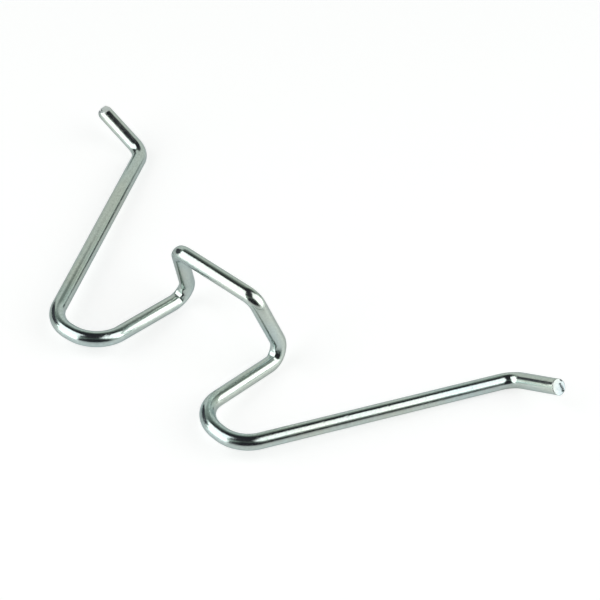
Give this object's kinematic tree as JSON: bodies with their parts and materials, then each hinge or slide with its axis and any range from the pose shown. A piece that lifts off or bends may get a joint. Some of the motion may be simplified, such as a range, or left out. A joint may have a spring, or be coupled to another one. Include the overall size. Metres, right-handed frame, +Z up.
{
  "type": "headlight retaining pin",
  "caption": "Bent spring-wire clip with a raised bridge, return bends and splayed arms that end in outward pins, bright zinc plated.",
  "frame": {"origin": "on the plane that it rests on, under the middle of its outline", "axes": "+X towards the right pin, +Y from the return bends towards the pins, +Z up towards the bridge"},
  "size_m": [0.0978, 0.0422, 0.0154],
  "materials": {
    "zinc_plated_wire": "bright zinc-plated spring steel, drawn wire, clear passivated"
  },
  "bodies": {
    "root": {"retaining_pin": "zinc_plated_wire"}
  },
  "joints": []
}
